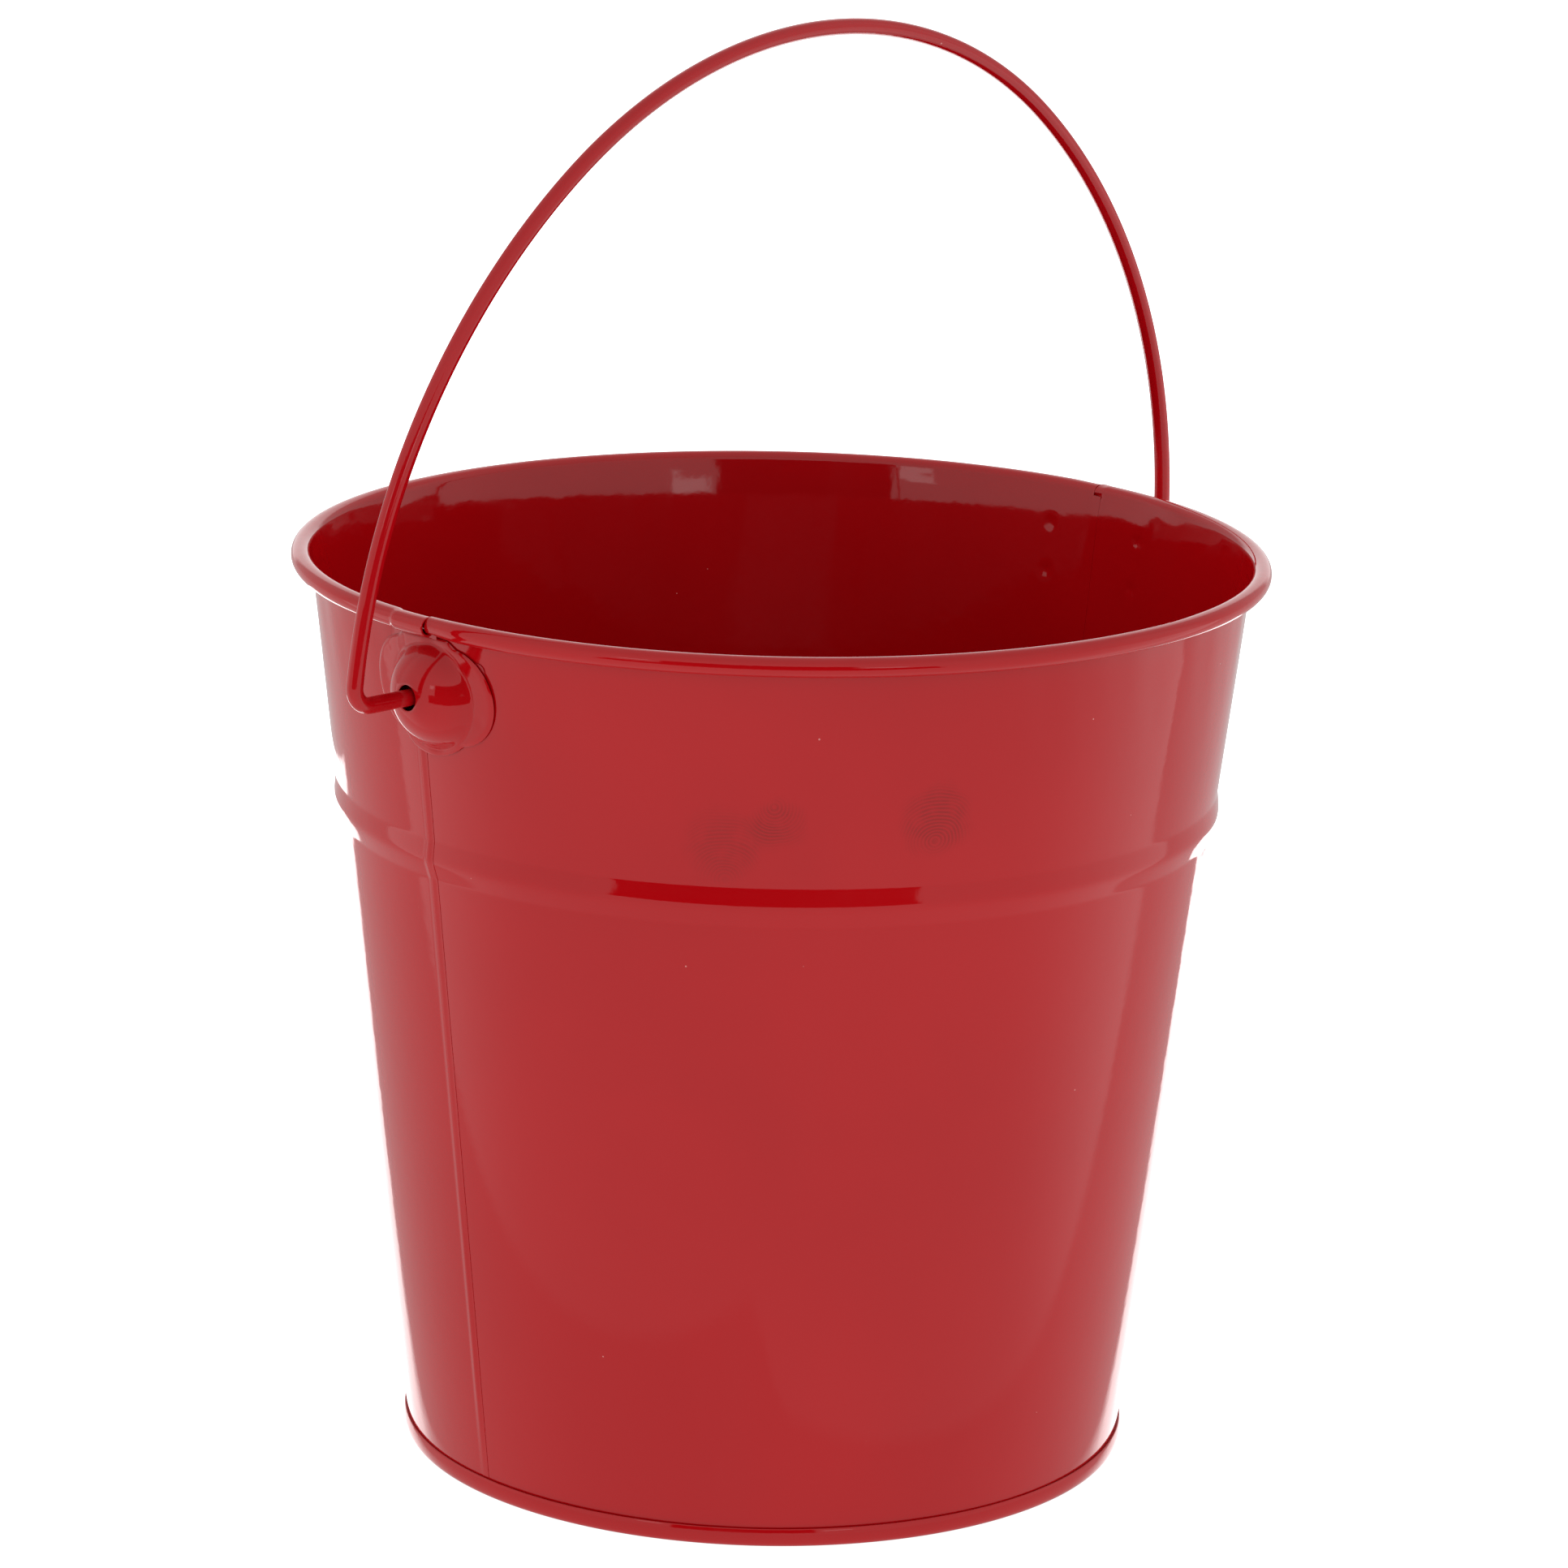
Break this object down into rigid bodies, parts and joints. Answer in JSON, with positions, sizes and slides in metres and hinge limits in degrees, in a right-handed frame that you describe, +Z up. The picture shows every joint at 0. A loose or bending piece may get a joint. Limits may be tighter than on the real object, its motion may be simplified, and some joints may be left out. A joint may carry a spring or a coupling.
{
  "type": "sand bucket",
  "caption": "Small painted tin sand bucket with a rolled rim, a swaged bead, a hemmed base, two domed ears and a swinging wire bail.",
  "frame": {"origin": "centre of the foot ring on the surface the bucket stands on", "axes": "+Z up, +X along the bail's pivot axis towards the right ear, +Y towards the rear panel"},
  "size_m": [0.1632, 0.14, 0.2082],
  "materials": {
    "enamel": "gloss red enamel over tinned steel sheet",
    "weld": "spot-welded steel under red enamel",
    "bail_enamel": "gloss red enamel over steel wire"
  },
  "bodies": {
    "bucket": {"front_panel": "enamel", "rear_panel": "enamel", "base_pan": "enamel", "left_ear": "enamel", "right_ear": "enamel", "left_ear_welds": "weld", "right_ear_welds": "weld"},
    "bail": {"bail": "bail_enamel"}
  },
  "joints": [
    {"name": "bail_swing", "type": "hinge", "parent": "bucket", "child": "bail", "pos_m": [0, 0, 0.1206], "axis": [1, 0, 0], "range_deg": [-139, 130.5]}
  ]
}
